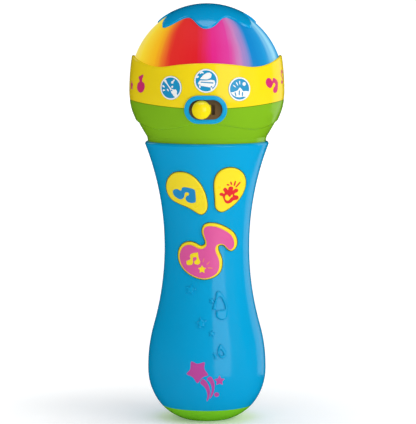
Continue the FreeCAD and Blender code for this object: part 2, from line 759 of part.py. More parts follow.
def lights():
    tray = rod("tray_disc", 39.3, 1.5, (0, 0, 181.3))
    legs = []
    screws = []
    holes = []
    pilots = []
    for i in range(3):
        turn = math.radians(270 + 120 * i)
        x = 22 * math.cos(turn)
        y = 22 * math.sin(turn)
        legs.append(rod(f"tray_leg_{i}", 2.4, 4.2, (x, y, 177.6)))
        screws.append(screw(f"tray_screw_{i}", (x, y, 176), (0, 0, 1), 5, 2.2))
        holes.append(rod(f"led_board_hole_{i}", 1.5, 4, (x, y, 175)))
        pilots.append(rod(f"tray_pilot_{i}", "screw_radius", 5, (x, y, 176)))
    wells = []
    for name, turn in LEDS:
        x = 15 * math.cos(math.radians(turn))
        y = 15 * math.sin(math.radians(turn))
        wells.append(rod(f"{name}_well", "led_radius + 0.4", 10, (x, y, 178)))
        lens = put(doc.addObject("Part::Sphere", f"{name}_tip"), (x, y, 186))
        bind(lens, Radius="led_radius")
        flange = rod(f"{name}_flange", "led_radius + 0.3", 1.0, (x, y, 177.6))
        stem = rod(f"{name}_stem", "led_radius", "8.4", (x, y, 177.6))
        node(name, fuse(name, stem, lens, flange))
    node("reflector_tray", cut("reflector_tray", fuse("tray_body", tray, *legs), *wells, *pilots))
    node("led_board", cut("led_board", rod("led_board_disc", 26, 1.6, (0, 0, 176)), *holes))
    node("tray_screws", gather("tray_screws", *screws))


# ---------------------------------------------------------------- batteries

def battery_tray():
    low = SIZE["cell_floor"] - 1.2
    inner_height = "cell_length + 3.8"
    outside = block("tray_outside", (34, 10.2, "cell_length + 6.2"), (-17, -1.2, low))
    inside = block("tray_inside", (31.2, 20, inner_height), (-15.6, 0, "cell_floor"))
    rib = block("tray_rib", (0.5, 4, inner_height), (-0.25, -0.2, "cell_floor"))
    bridge = block("tray_bridge", (7, 4.2, 8.4), (-3.5, -1.2, 73.0))
    post = rod("door_post", 3.2, 14.5, (0, -1.2, 76.5), (0, 1, 0))
    pilot = rod("door_pilot", "screw_radius + 0.25", 20, (0, 3, 76.5), (0, 1, 0))
    tray = fuse("tray_solid", cut("tray_shell", outside, inside), rib, bridge, post)
    node("battery_tray", cut("battery_tray", tray, pilot))


def battery_cells():
    cells = []
    for i, (side, floor) in enumerate([(-1, 3.3), (1, 0.5)]):
        x = side * SIZE["cell_x"]
        z = SIZE["cell_floor"] + floor
        up = side < 0
        can = rod(f"cell_can_{i}", "cell_radius", "cell_length - 1.2", (x, "cell_y", z if up else z + 1.2))
        nub = rod(f"cell_nub_{i}", 2.7, 1.2, (x, "cell_y", z + SIZE["cell_length"] - 1.2 if up else z))
        cells.append(fuse(f"cell_{i}", can, nub))
    node("battery_cells", gather("battery_cells", *cells))


def battery_contacts():
    top = SIZE["cell_floor"] + SIZE["cell_length"] + 3.3
    plates = [block(f"contact_{i}", (11, 10, 0.5), (x - 5.5, 0.2, z))
              for i, (x, z) in enumerate([(-7.6, top), (7.6, SIZE["cell_floor"])])]
    node("battery_contacts", gather("battery_contacts", *plates))
    springs = []
    for i, (x, z) in enumerate([(-7.6, SIZE["cell_floor"]), (7.6, top - 2.8)]):
        for turn in range(4):
            ring = doc.addObject("Part::Torus", f"spring_{i}_{turn}")
            put(bind(ring, Radius1=4.0 - 0.4 * turn, Radius2=0.35),
                (x, "cell_y", z + 0.4 + 0.8 * (turn if i == 0 else 3 - turn)))
            springs.append(ring)
    node("battery_springs", gather("battery_springs", *springs))


def battery_door():
    """Lift-off cover of the cells, cut from the handle's own curve, with its captive screw."""
    skin = handle_layer("door_skin", 12, 86, 0, -SIZE["shell"] + 0.2)
    plate = common("door_plate", door_box("door_block", 0), skin)
    depth = handle_radius(76.5)
    seat = rod("door_screw_seat", 3.0, 10, (0, depth - 1.1, 76.5), (0, 1, 0))
    way = rod("door_screw_way", "screw_radius + 0.2", 20, (0, 12, 76.5), (0, 1, 0))
    grip = [block(f"door_grip_{i}", (14, 3, 0.8), (-7, handle_radius(24 + 2.2 * i) - 0.5,
                                                   24 + 2.2 * i)) for i in range(4)]
    node("battery_door", cut("battery_door", plate, seat, way, *grip))
    node("battery_door_screw", screw("battery_door_screw", (0, depth - 1.1, 76.5), (0, -1, 0), 14, 2.7))


# ---------------------------------------------------------------- wires

def wire(name, points, radius):
    """Insulated wire: straight runs joined by tangent arcs."""
    stops = [V(*point) for point in points]
    pieces = []
    here = stops[0]
    for before, corner, after in zip(stops, stops[1:], stops[2:]):
        back = (before - corner).normalize()
        ahead = (after - corner).normalize()
        reach = 0.42 * min((before - corner).Length, (after - corner).Length)
        start = corner + back * reach
        end = corner + ahead * reach
        half = back.getAngle(ahead) / 2
        bend = reach * math.tan(half)
        middle = corner + (back + ahead).normalize() * (bend / math.sin(half) - bend)
        pieces.append(Part.LineSegment(here, start).toShape())
        pieces.append(Part.Arc(start, middle, end).toShape())
        here = end
    pieces.append(Part.LineSegment(here, stops[-1]).toShape())
    path = Part.Wire(pieces)
    ring = Part.Wire(Part.Circle(stops[0], stops[1] - stops[0], radius).toShape())
    item = doc.addObject("Part::Feature", name)
    item.Shape = path.makePipeShell([ring], True, False)
    return item


def wires():
    radius = 0.6
    back = -SIZE["board_front"] + SIZE["board_thick"]
    runs = {
        "battery_wires": [[(side * 12, 4, 74.1), (side * 12, 4, 80), (side * 9, 2.5, 86),
                           (side * 9, back, 86)] for side in (-1, 1)],
        "speaker_wires": [[(x, 13.6, 151.3), (x, 8, 144), (x, 3, 132), (x, back, 132)]
                          for x in (3, 5)],
        "led_wires": [[(x, 6, 176), (x, 6, 165), (x * 1.2, 4, 148), (x, 3, 128), (x, back, 128)]
                      for x in (-10, -8, -6)],
        "switch_wires": [[(x, -28.6, 162), (x, -25, 162), (x, -16, 150), (x, -8, 138),
                          (x, -SIZE["board_front"], 138)] for x in (7, 9)],
    }
    for name, routes in runs.items():
        node(name, gather(name, *[wire(f"{name}_{i}", route, radius)
                                  for i, route in enumerate(routes)]))


# ---------------------------------------------------------------- build and write

handle_front_shell()
handle_back_shell()
handle_screws()
base_cap()
head_bowl()
head_band()
light_dome()
dome_cap()
stickers()
switch_bezel()
switch_slot_plate()
slider_knob()
slide_switch()
buttons()
main_board()
speaker()
lights()
battery_tray()
battery_cells()
battery_contacts()
battery_door()
wires()
doc.recompute()

for item in doc.Objects:
    if "Invalid" in item.State or "Error" in item.State:
        raise RuntimeError(f"{item.Name} failed: {item.State}")
os.makedirs("parts", exist_ok=True)
for name, item in NODES:
    if item.Shape.isNull() or not item.Shape.isValid() or not item.Shape.Solids:
        raise RuntimeError(f"{name} has no valid shape")
    print(f"{name}: {len(item.Shape.Solids)} solid(s), {item.Shape.Volume:.0f} mm3")
    item.Shape.exportStep(f"parts/{name}.step")
print(f"{len(NODES)} nodes")
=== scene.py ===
import json
import math

import bmesh
import bpy
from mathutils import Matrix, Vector
from mathutils.bvhtree import BVHTree
from mathutils.kdtree import KDTree


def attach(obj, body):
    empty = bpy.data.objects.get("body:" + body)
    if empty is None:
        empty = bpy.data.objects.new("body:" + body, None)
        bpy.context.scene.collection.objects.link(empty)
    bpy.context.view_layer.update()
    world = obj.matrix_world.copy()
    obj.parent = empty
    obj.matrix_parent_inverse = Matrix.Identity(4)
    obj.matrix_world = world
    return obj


# A child's sing-along microphone: blue waisted handle with shaped buttons, green bowl, yellow
# band and a lit rainbow dome.  Lengths in the shape lists are millimetres.

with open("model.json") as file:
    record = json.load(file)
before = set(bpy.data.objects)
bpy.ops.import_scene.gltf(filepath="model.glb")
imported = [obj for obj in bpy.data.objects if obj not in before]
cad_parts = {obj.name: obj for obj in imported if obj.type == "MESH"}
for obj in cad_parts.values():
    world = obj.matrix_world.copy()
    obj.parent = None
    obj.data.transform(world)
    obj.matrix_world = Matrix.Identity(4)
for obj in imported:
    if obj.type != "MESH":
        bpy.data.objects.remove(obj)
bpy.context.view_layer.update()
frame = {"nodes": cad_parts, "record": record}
NODES = frame["nodes"]
MM = 0.001

# The head, in millimetres.
HEAD_REACH = 40.8                # radius that prints are wrapped round
SWITCH_MIDDLE = (-0.6, 165.7)    # x and z of the slide switch
BAND_SEAM = 165.95               # seam of bowl and band at the front
BAND_SEAM_RISE = 3.42            # how much higher the seam is at the sides
BOWL_LIP = 169.2                 # height up to which the bowl's skin is read
WAVE_FOOT = 156.5                # middle height of the wavy lower edge
WAVE_SWING = 1.65
WAVE_STEP = 0.8
SUNK = 0.15                      # how far the raised layer starts below the bowl's skin

# The studio, in metres.
PAPER_HALF = 4.0
PAPER_BACK = 4.5
PAPER_BEND = 1.5
VIEW_HEIGHT = 0.22472            # how much the camera sees at the toy, top to bottom


# ---------------------------------------------------------------- colours and node helpers

def paint(red, green, blue):
    """A colour given as a paint chart gives it, 0 to 255, as linear light."""
    def light(step):
        part = step / 255
        return part / 12.92 if part <= 0.04045 else ((part + 0.055) / 1.055) ** 2.4
    return (light(red), light(green), light(blue), 1.0)


SKY_BLUE = paint(0, 160, 214)
LIME = paint(126, 182, 26)
LEAF = paint(122, 200, 38)
SUN = paint(252, 228, 20)
CAP_BLUE = paint(0, 152, 208)
ROSE = paint(222, 84, 156)
MAGENTA = paint(214, 38, 114)
VIOLET = paint(194, 68, 160)
CHERRY = paint(228, 28, 36)
NOTE_BLUE = paint(0, 142, 206)
WHITE = paint(248, 248, 246)


def add(tree, kind, inputs=(), **settings):
    """One shader node, with its settings and its inputs, which are values or output sockets."""
    node = tree.nodes.new(kind)
    for name, value in settings.items():
        setattr(node, name, value)
    for name, value in dict(inputs).items():
        if isinstance(value, bpy.types.NodeSocket):
            tree.links.new(value, node.inputs[name])
        else:
            node.inputs[name].default_value = value
    return node


def ramp(tree, factor, stops):
    """Colour ramp through (place, colour) stops."""
    node = add(tree, "ShaderNodeValToRGB", {"Fac": factor})
    steps = node.color_ramp.elements
    while len(steps) < len(stops):
        steps.new(0.5)
    for step, (place, colour) in zip(steps, stops):
        step.position = place
        step.color = colour
    return node.outputs["Color"]


def blend(tree, share, first, second, mode="MIX"):
    """Mix of two colours, each a value or a socket."""
    node = add(tree, "ShaderNodeMix", data_type="RGBA", blend_type=mode)
    for socket, value in ((0, share), (6, first), (7, second)):
        if isinstance(value, bpy.types.NodeSocket):
            tree.links.new(value, node.inputs[socket])
        else:
            node.inputs[socket].default_value = value
    return node.outputs[2]


def sums(tree, operation, first, second=0.0, third=0.0):
    """One step of arithmetic on values or sockets."""
    node = add(tree, "ShaderNodeMath", operation=operation)
    for index, value in enumerate((first, second, third)):
        if isinstance(value, bpy.types.NodeSocket):
            tree.links.new(value, node.inputs[index])
        else:
            node.inputs[index].default_value = value
    return node.outputs[0]


def new_group(name, inputs, outputs):
    """Empty shader node group with named inputs and outputs."""
    tree = bpy.data.node_groups.new(name, "ShaderNodeTree")
    for label, kind, value in inputs:
        socket = tree.interface.new_socket(name=label, in_out="INPUT", socket_type=kind)
        socket.default_value = value
    for label, kind in outputs:
        tree.interface.new_socket(name=label, in_out="OUTPUT", socket_type=kind)
    return tree, tree.nodes.new("NodeGroupInput"), tree.nodes.new("NodeGroupOutput")


def moulded_group():
    """Injection-moulded plastic: slow colour drift, faint flow marks, satin smudges, fine skin."""
    tree, given, out = new_group(
        "moulded_plastic",
        [("Color", "NodeSocketColor", (0.5, 0.5, 0.5, 1)), ("Drift", "NodeSocketFloat", 0.06),
         ("Gloss", "NodeSocketFloat", 0.25), ("Smudge", "NodeSocketFloat", 0.08),
         ("Grain", "NodeSocketFloat", 1400.0)],
        [("Color", "NodeSocketColor"), ("Roughness", "NodeSocketFloat"),
         ("Height", "NodeSocketFloat")])
    where = add(tree, "ShaderNodeTexCoord").outputs["Object"]
    slow = add(tree, "ShaderNodeTexNoise", {"Vector": where, "Scale": 22.0, "Detail": 2.0,
                                            "Distortion": 0.6}).outputs["Fac"]
    dark = blend(tree, 1.0, given.outputs["Color"], (0.72, 0.72, 0.74, 1), "MULTIPLY")
    share = sums(tree, "MULTIPLY", slow, given.outputs["Drift"])
    colour = blend(tree, share, given.outputs["Color"], dark)
    flow = add(tree, "ShaderNodeMapping", {"Vector": where, "Scale": (260.0, 260.0, 26.0)})
    lines = add(tree, "ShaderNodeTexNoise", {"Vector": flow.outputs["Vector"], "Scale": 1.0,
                                             "Detail": 3.0}).outputs["Fac"]
    smudge = add(tree, "ShaderNodeTexNoise", {"Vector": where, "Scale": 85.0, "Detail": 4.0,
                                              "Roughness": 0.6}).outputs["Fac"]
    mixed = sums(tree, "ADD", sums(tree, "MULTIPLY", smudge, 0.75),
                 sums(tree, "MULTIPLY", lines, 0.25))
    rough = sums(tree, "MULTIPLY_ADD", sums(tree, "SUBTRACT", mixed, 0.5),
                 given.outputs["Smudge"], given.outputs["Gloss"])
    skin = add(tree, "ShaderNodeTexNoise", {"Vector": where, "Scale": given.outputs["Grain"],
                                            "Detail": 2.0}).outputs["Fac"]
    tree.links.new(colour, out.inputs["Color"])
    tree.links.new(rough, out.inputs["Roughness"])
    tree.links.new(skin, out.inputs["Height"])
    return tree


MOULDED = moulded_group()


def blank(name):
    """New material with only a Principled shader in it."""
    material = bpy.data.materials.new(name)
    material.use_nodes = True
    tree = material.node_tree
    tree.nodes.clear()
    shader = tree.nodes.new("ShaderNodeBsdfPrincipled")
    out = tree.nodes.new("ShaderNodeOutputMaterial")
    tree.links.new(shader.outputs["BSDF"], out.inputs["Surface"])
    return material, tree, shader


def bump(tree, shader, height, strength, distance):
    """Fine relief on a shader from a height socket."""
    node = add(tree, "ShaderNodeBump", {"Height": height, "Strength": strength,
                                        "Distance": distance})
    tree.links.new(node.outputs["Normal"], shader.inputs["Normal"])


def plastic(name, colour, gloss=0.15, smudge=0.08, drift=0.25, grain=1400.0, skin=0.05, coat=0.0,
            painted_glow=0.0, metal=0.0):
    """Glossy moulded plastic in one colour; with metal, plated steel of the same finish; with
    painted_glow its colour also glows, as painted light.
    """
    material, tree, shader = blank(name)
    body = add(tree, "ShaderNodeGroup", node_tree=MOULDED)
    for label, value in (("Color", colour), ("Drift", drift), ("Gloss", gloss),
                         ("Smudge", smudge), ("Grain", grain)):
        body.inputs[label].default_value = value
    tree.links.new(body.outputs["Color"], shader.inputs["Base Color"])
    tree.links.new(body.outputs["Roughness"], shader.inputs["Roughness"])
    bump(tree, shader, body.outputs["Height"], skin, 0.00002)
    shader.inputs["Coat Weight"].default_value = coat
    shader.inputs["Coat Roughness"].default_value = 0.08
    shader.inputs["IOR"].default_value = 1.5
    shader.inputs["Metallic"].default_value = metal
    # Painted light: the part's own colour glows, though the part holds no lamp.
    if painted_glow:
        tree.links.new(body.outputs["Color"], shader.inputs["Emission Color"])
        shader.inputs["Emission Strength"].default_value = painted_glow
    return material


def rainbow_plastic():
    """Translucent dome lit from inside: colours change with the bearing round the dome; its pale
    stops are painted highlights.
    """
    material, tree, shader = blank("rainbow_dome")
    where = add(tree, "ShaderNodeTexCoord").outputs["Object"]
    parts = add(tree, "ShaderNodeSeparateXYZ", {"Vector": where})
    bearing = sums(tree, "ARCTAN2", parts.outputs["X"], sums(tree, "ABSOLUTE", parts.outputs["Y"]))
    fan = add(tree, "ShaderNodeCombineXYZ",
              {"X": sums(tree, "MULTIPLY", bearing, 16.0),
               "Y": sums(tree, "MULTIPLY", parts.outputs["Z"], 26.0)})
    streaks = add(tree, "ShaderNodeTexNoise", {"Vector": fan.outputs["Vector"], "Scale": 0.45,
                                               "Detail": 2.0, "Distortion": 1.6}).outputs["Fac"]
    cloud = add(tree, "ShaderNodeTexNoise", {"Vector": where, "Scale": 45.0,
                                             "Detail": 1.0}).outputs["Fac"]
    uneven = sums(tree, "ADD", sums(tree, "MULTIPLY", streaks, 0.5),
                  sums(tree, "MULTIPLY", cloud, 0.5))
    wander = sums(tree, "MULTIPLY", sums(tree, "SUBTRACT", uneven, 0.5), 0.08)
    turn = sums(tree, "ADD", sums(tree, "MULTIPLY", bearing, 1 / math.pi), 0.5)
    # Pale yellow at 0.0 and pale blue at 0.87 are painted highlights, not colours of the lamps
    # inside.
    lit = ramp(tree, sums(tree, "ADD", turn, wander), [
        (0.0, paint(254, 238, 140)), (0.14, paint(254, 224, 40)), (0.25, paint(252, 186, 20)),
        (0.30, paint(240, 112, 34)), (0.34, paint(228, 44, 36)), (0.45, paint(224, 24, 34)),
        (0.49, paint(226, 28, 84)), (0.53, paint(226, 30, 136)), (0.60, paint(222, 60, 158)),
        (0.65, paint(200, 130, 190)), (0.69, paint(110, 136, 204)), (0.72, paint(0, 134, 206)),
        (0.80, paint(10, 152, 216)), (0.87, paint(150, 218, 246)), (0.93, paint(10, 158, 220)),
        (1.0, paint(20, 164, 226))])
    tree.links.new(blend(tree, 1.0, lit, (0.4, 0.4, 0.4, 1), "MULTIPLY"),
                   shader.inputs["Base Color"])
    tree.links.new(lit, shader.inputs["Emission Color"])
    shader.inputs["Emission Strength"].default_value = 0.6
    shader.inputs["Roughness"].default_value = 0.45
    shader.inputs["Specular IOR Level"].default_value = 0.2
    bump(tree, shader, streaks, 0.12, 0.0003)
    return material


def flat_print(name, colour, gloss=0.3):
    """Pad-printed ink: slightly uneven cover."""
    return plastic(name, colour, gloss=gloss, smudge=0.16, drift=0.5, grain=2600.0, skin=0.12,
                   coat=0.15)


MATERIALS = {
    "handle_plastic": plastic("handle_blue", SKY_BLUE),
    "bowl_plastic": plastic("bowl_lime", LIME),
    # Painted light: the base glows a little to brighten its green.
    "base_plastic": plastic("base_leaf", LEAF, painted_glow=0.08),
    "band_plastic": plastic("band_sun", paint(245, 217, 22)),
    "dome_plastic": rainbow_plastic(),
    # Painted light: the cap glows a little to brighten its blue.
    "cap_plastic": plastic("cap_blue", CAP_BLUE, gloss=0.16, coat=0.7, painted_glow=0.12),
    "bezel_plastic": plastic("bezel_blue", SKY_BLUE, gloss=0.2),
    "button_plastic": plastic("button_sun", paint(247, 222, 20), gloss=0.28),
    "inlay_plastic": plastic("inlay_rose", ROSE, gloss=0.3),
    "knob_plastic": plastic("knob_sun", SUN, gloss=0.1, coat=0.8),
    "sticker_print": flat_print("label_blue", paint(0, 148, 200)),
    # Painted shade: the yellow plastic deep in the switch slot, coloured dark brown as if in
    # shadow.
    "recess": plastic("recess_shade", paint(112, 84, 42), gloss=0.4, drift=0.8),
    "screw_steel": plastic("screw_steel", paint(170, 172, 176), metal=1.0),
}


def dress_nodes():
    """Give every carried-over node its finish by its material slot."""
    slots = {row["node"]: row["material_slot"] for row in frame["record"]["subparts"]}
    colours = {row["slot"]: row["base_color"] for row in frame["record"]["materials"]}
    for name, thing in NODES.items():
        slot = slots[name]
        if slot not in MATERIALS:
            colour = tuple(colours[slot][:3]) + (1.0,)
            MATERIALS[slot] = plastic(slot, colour, gloss=0.4, coat=0.1)
        thing.data.materials.clear()
        thing.data.materials.append(MATERIALS[slot])
    # The slot plate takes the painted-shade recess colour instead of its yellow.
    NODES["switch_slot_plate"].data.materials[0] = MATERIALS["recess"]


dress_nodes()


# ---------------------------------------------------------------- floor, light and camera

def studio():
    """White sweep, soft boxes and a camera level with the top of the toy."""
    scene = bpy.context.scene
    scene.view_settings.view_transform = "Standard"
    world = bpy.data.worlds.new("soft_world")
    scene.world = world
    world.use_nodes = True
    back = world.node_tree.nodes["Background"]
    back.inputs["Color"].default_value = (1.0, 1.0, 1.0, 1.0)
    seen = add(world.node_tree, "ShaderNodeLightPath").outputs["Is Camera Ray"]
    world.node_tree.links.new(sums(world.node_tree, "MULTIPLY_ADD", seen, 0.5, 0.5),
                              back.inputs["Strength"])
    world.cycles_visibility.glossy = False

    sweep = bmesh.new()
    low = sweep.verts.new((-PAPER_HALF, -PAPER_HALF, 0.0))
    far = sweep.verts.new((-PAPER_HALF, PAPER_BACK, 0.0))
    top = sweep.verts.new((-PAPER_HALF, PAPER_BACK, PAPER_HALF))
    edges = [sweep.edges.new((low, far)), sweep.edges.new((far, top))]
    made = bmesh.ops.extrude_edge_only(sweep, edges=edges)["geom"]
    moved = [part for part in made if isinstance(part, bmesh.types.BMVert)]
    bmesh.ops.translate(sweep, verts=moved, vec=(2 * PAPER_HALF, 0.0, 0.0))
    corner = [edge for edge in sweep.edges
              if all(abs(v.co.y - PAPER_BACK) < 1e-6 and abs(v.co.z) < 1e-6 for v in edge.verts)]
    bmesh.ops.bevel(sweep, geom=corner, offset=PAPER_BEND, offset_type="OFFSET", segments=16,
                    profile=0.5, affect="EDGES", material=-1)
    bmesh.ops.recalc_face_normals(sweep, faces=sweep.faces[:])
    floor = finish_piece("paper_sweep", sweep, None, floor_paper())
    floor.visible_glossy = False

    def box(name, bearing, height, reach, size, radiance, shiny, colour=(1.0, 1.0, 1.0)):
        """A soft box at a bearing (0 in front, 90 to the right) aimed at the toy's middle."""
        turn = math.radians(bearing)
        tilt = math.radians(height)
        middle = Vector((0.0, 0.0, 0.11))
        away = Vector((math.sin(turn) * math.cos(tilt), -math.cos(turn) * math.cos(tilt),
                       math.sin(tilt)))
        lamp = bpy.data.lights.new(name, "AREA")
        lamp.shape = "RECTANGLE"
        lamp.size = size[0]
        lamp.size_y = size[1]
        lamp.energy = radiance * math.pi * size[0] * size[1]
        lamp.color = colour
        thing = bpy.data.objects.new(name, lamp)
        scene.collection.objects.link(thing)
        thing.location = middle + away * reach
        thing.rotation_euler = (-away).to_track_quat("-Z", "Y").to_euler()
        thing.visible_glossy = shiny

    box("key_right", 62, 18, 1.1, (0.7, 0.9), 2.2, False, (1.0, 0.98, 0.93))
    box("window_right", 31, 6, 1.0, (0.62, 0.78), 1.1, True)
    box("top_box", 0, 78, 1.0, (0.8, 0.8), 1.2, True)
    box("edge_right", 132, 10, 0.9, (0.55, 0.9), 0.5, True)
    box("edge_left", -140, 25, 0.9, (0.3, 0.4), 0.5, True)

    lens = bpy.data.cameras.new("camera")
    lens.lens = 60.0
    lens.sensor_width = 36.0
    lens.clip_start = 0.01
    eye = bpy.data.objects.new("camera", lens)
    scene.collection.objects.link(eye)
    place = Vector((0.0006, -1.17, 0.216))
    aim = Vector((0.0006, 0.0, 0.1098))
    eye.location = place
    eye.rotation_euler = (aim - place).to_track_quat("-Z", "Y").to_euler()
    lens.angle = 2 * math.atan(0.5 * VIEW_HEIGHT / (aim - place).length)
    scene.camera = eye


def floor_paper():
    """White paper that glows, less near the toy: painted shade round its foot, which keeps its
    contact shadow visible.
    """
    material, tree, shader = blank("floor_paper")
    where = add(tree, "ShaderNodeTexCoord").outputs["Object"]
    grain = add(tree, "ShaderNodeTexNoise", {"Vector": where, "Scale": 60.0}).outputs["Fac"]
    tint = blend(tree, grain, paint(252, 252, 252), paint(246, 246, 247))
    tree.links.new(tint, shader.inputs["Base Color"])
    shader.inputs["Roughness"].default_value = 0.9
    parts = add(tree, "ShaderNodeSeparateXYZ", {"Vector": where})
    across, along = (sums(tree, "MULTIPLY", parts.outputs[axis], parts.outputs[axis])
                     for axis in ("X", "Y"))
    away = sums(tree, "ADD", across, along)
    # Painted shade: the glow is dimmest close to the toy and rises to full far away.
    tree.links.new(ramp(tree, away, [(0.0, (0.25, 0.25, 0.25, 1)), (0.0167, (0.6, 0.6, 0.6, 1)),
                                     (1.0, (1, 1, 1, 1))]),
                   shader.inputs["Emission Color"])
    shader.inputs["Emission Strength"].default_value = 0.55
    return material


def finish_piece(name, shape, body, material, smooth=True):
    """Turn a bmesh into an object that rides on a body."""
    mesh = bpy.data.meshes.new(name)
    shape.to_mesh(mesh)
    shape.free()
    for face in mesh.polygons:
        face.use_smooth = smooth
    thing = bpy.data.objects.new(name, mesh)
    bpy.context.scene.collection.objects.link(thing)
    mesh.materials.append(material)
    if body:
        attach(thing, body)
    return thing


# ---------------------------------------------------------------- outlines in millimetres

def smooth(points, parts=4):
    """Closed smooth curve through the points."""
    count = len(points)
    curve = []
    for index in range(count):
        a, b, c, d = (Vector(points[(index + step) % count]) for step in (-1, 0, 1, 2))
        for step in range(parts):
            t = step / parts
            curve.append(0.5 * (2 * b + (c - a) * t + (2 * a - 5 * b + 4 * c - d) * t ** 2
                                + (3 * b - a - 3 * c + d) * t ** 3))
    return curve


def blunt(points, share=0.3, parts=4):
    """Straight-sided outline with its corners rounded off."""
    count = len(points)
    curve = []
    for index in range(count):
        last, here, after = (Vector(points[(index + step) % count]) for step in (-1, 0, 1))
        start = here.lerp(last, share)
        end = here.lerp(after, share)
        for step in range(parts + 1):
            t = step / parts
            curve.append(start * (1 - t) ** 2 + here * 2 * t * (1 - t) + end * t ** 2)
    return curve


def star(centre, reach, turn=0.0, waist=0.5):
    """Five-pointed star with blunt tips."""
    points = []
    for step in range(10):
        angle = math.radians(turn + 36 * step)
        out = reach if step % 2 == 0 else reach * waist
        points.append((centre[0] + out * math.sin(angle), centre[1] + out * math.cos(angle)))
    return blunt(points, 0.22)


def oval(centre, across, up, turn=0.0, count=24):
    """Ellipse, leaning by turn degrees."""
    lean = math.radians(turn)
    points = []
    for step in range(count):
        angle = 2 * math.pi * step / count
        u = across * math.cos(angle)
        v = up * math.sin(angle)
        points.append(Vector((centre[0] + u * math.cos(lean) - v * math.sin(lean),
                              centre[1] + u * math.sin(lean) + v * math.cos(lean))))
    return points


def stroke(points, widths):
    """Round-ended brush stroke along some points, with its width at each."""
    spots = [Vector(point) for point in points]
    left = []
    right = []
    for index, spot in enumerate(spots):
        along = spots[min(index + 1, len(spots) - 1)] - spots[max(index - 1, 0)]
        along.normalize()
        side = Vector((-along.y, along.x)) * widths[index] / 2
        if index == 0:
            left.append(spot - along * widths[index] / 2)
        left.append(spot + side)
        right.append(spot - side)
        if index == len(spots) - 1:
            left.append(spot + along * widths[index] / 2)
    return smooth(left + right[::-1])


QUAVERS = smooth([
    (-17.7, 122.3), (-17.0, 123.4), (-15.5, 123.8), (-14.0, 123.2), (-13.3, 123.2), (-12.8, 124.5),
    (-11.8, 125.0), (-9.4, 124.7), (-7.0, 124.1), (-6.2, 123.4), (-5.9, 121.5), (-5.7, 117.9),
    (-6.4, 117.0), (-8.1, 116.7), (-9.9, 117.2), (-10.8, 118.2), (-11.0, 119.3), (-10.4, 120.4),
    (-9.5, 120.7), (-9.2, 121.6), (-9.9, 122.2), (-10.9, 122.2), (-11.5, 121.5), (-11.7, 120.2),
    (-12.3, 119.0), (-13.8, 118.4), (-15.5, 119.1), (-17.1, 120.3)])
HAND = smooth([
    (6.5, 121.4), (7.1, 122.1), (8.1, 122.1), (8.9, 121.6), (9.2, 122.3), (8.5, 123.4),
    (8.6, 124.2), (9.4, 124.8), (10.2, 124.4), (10.8, 123.5), (11.1, 123.7), (11.3, 124.8),
    (12.2, 125.3), (13.3, 125.1), (13.7, 124.3), (13.4, 123.2), (13.9, 123.4), (14.8, 124.0),
    (15.9, 123.8), (16.3, 123.0), (15.9, 122.2), (14.6, 121.6), (14.2, 120.9), (14.8, 120.5),
    (15.9, 120.3), (16.5, 119.3), (15.9, 118.1), (14.6, 118.0), (13.7, 117.7), (12.6, 116.8),
    (11.1, 116.3), (9.8, 116.7), (9.0, 117.9), (8.5, 119.2), (8.1, 120.3), (7.0, 120.6)])
PALM = smooth([
    (9.4, 119.8), (9.8, 120.8), (10.7, 120.9), (11.2, 120.3), (12.0, 119.7), (12.6, 120.6),
    (13.3, 121.0), (13.4, 119.9), (12.6, 119.5), (12.1, 118.8), (11.3, 118.0), (10.3, 118.0),
    (9.5, 118.8)])
CLAPS = [stroke([(10.5, 126.3), (11.0, 126.2), (11.4, 126.1)], [0.7, 0.8, 0.7]),
         stroke([(12.4, 127.6), (12.6, 127.0), (12.8, 126.3)], [0.7, 0.8, 0.7]),
         stroke([(14.8, 127.9), (14.5, 126.8), (14.2, 125.8)], [0.7, 0.8, 0.7]),
         stroke([(17.2, 127.2), (16.2, 126.1), (15.2, 125.0)], [0.7, 0.8, 0.7])]
TUNE = smooth([
    (-10.6, 84.9), (-10.5, 86.1), (-9.2, 86.8), (-8.5, 87.3), (-8.8, 88.7), (-8.4, 89.7),
    (-7.0, 90.4), (-5.5, 90.7), (-4.7, 90.8), (-4.5, 89.6), (-4.2, 87.8), (-3.6, 86.5),
    (-3.6, 85.2), (-4.8, 84.5), (-6.2, 84.8), (-6.6, 85.7), (-6.0, 86.7), (-5.3, 87.2),
    (-5.5, 88.3), (-6.5, 88.3), (-7.3, 87.9), (-7.3, 86.6), (-7.2, 85.3), (-8.0, 84.3),
    (-9.4, 84.0), (-10.2, 84.2)])
SPARKS = [stroke([(0.6, 82.8), (1.6, 82.8), (2.8, 82.6)], [0.5, 0.7, 0.4]),
          stroke([(0.0, 84.6), (0.6, 85.2), (1.3, 86.0)], [0.4, 0.6, 0.4]),
          stroke([(-2.0, 85.9), (-1.7, 86.8), (-1.5, 87.6)], [0.4, 0.5, 0.4])]
COMET = [
    blunt([(-8.3, 34.9), (-4.9, 33.2), (-0.9, 34.6), (-1.5, 30.8), (1.1, 27.5), (-2.2, 26.5),
           (-4.9, 22.8), (-7.2, 26.4), (-10.9, 27.8), (-8.5, 30.4)], 0.28),
    smooth([(-2.3, 25.5), (-0.6, 24.6), (0.8, 22.3), (1.7, 19.0), (1.4, 16.3), (0.4, 13.5),
            (-0.1, 13.8), (0.3, 16.6), (-0.3, 19.6), (-1.7, 21.7), (-3.4, 23.4)]),
    smooth([(0.1, 25.6), (1.7, 26.9), (3.1, 25.5), (4.0, 22.6), (3.7, 19.0), (2.8, 16.3),
            (1.4, 14.8), (2.2, 17.5), (2.6, 20.2), (2.0, 22.9), (1.0, 24.4)]),
    star((6.6, 24.5), 2.9), oval((5.1, 17.0), 1.25, 1.25)]
PEAR = smooth([
    (-4.0, -0.8), (-3.3, 0.9), (-1.6, 1.7), (-1.7, 2.7), (-2.6, 3.5), (-2.6, 4.3), (-0.9, 4.8),
    (1.3, 5.5), (2.1, 5.2), (1.3, 3.6), (0.9, 2.6), (1.3, 1.8), (2.9, 1.1), (3.6, -0.6),
    (3.0, -2.2), (1.5, -3.5), (-0.6, -3.9), (-2.8, -3.2), (-3.8, -2.1)])
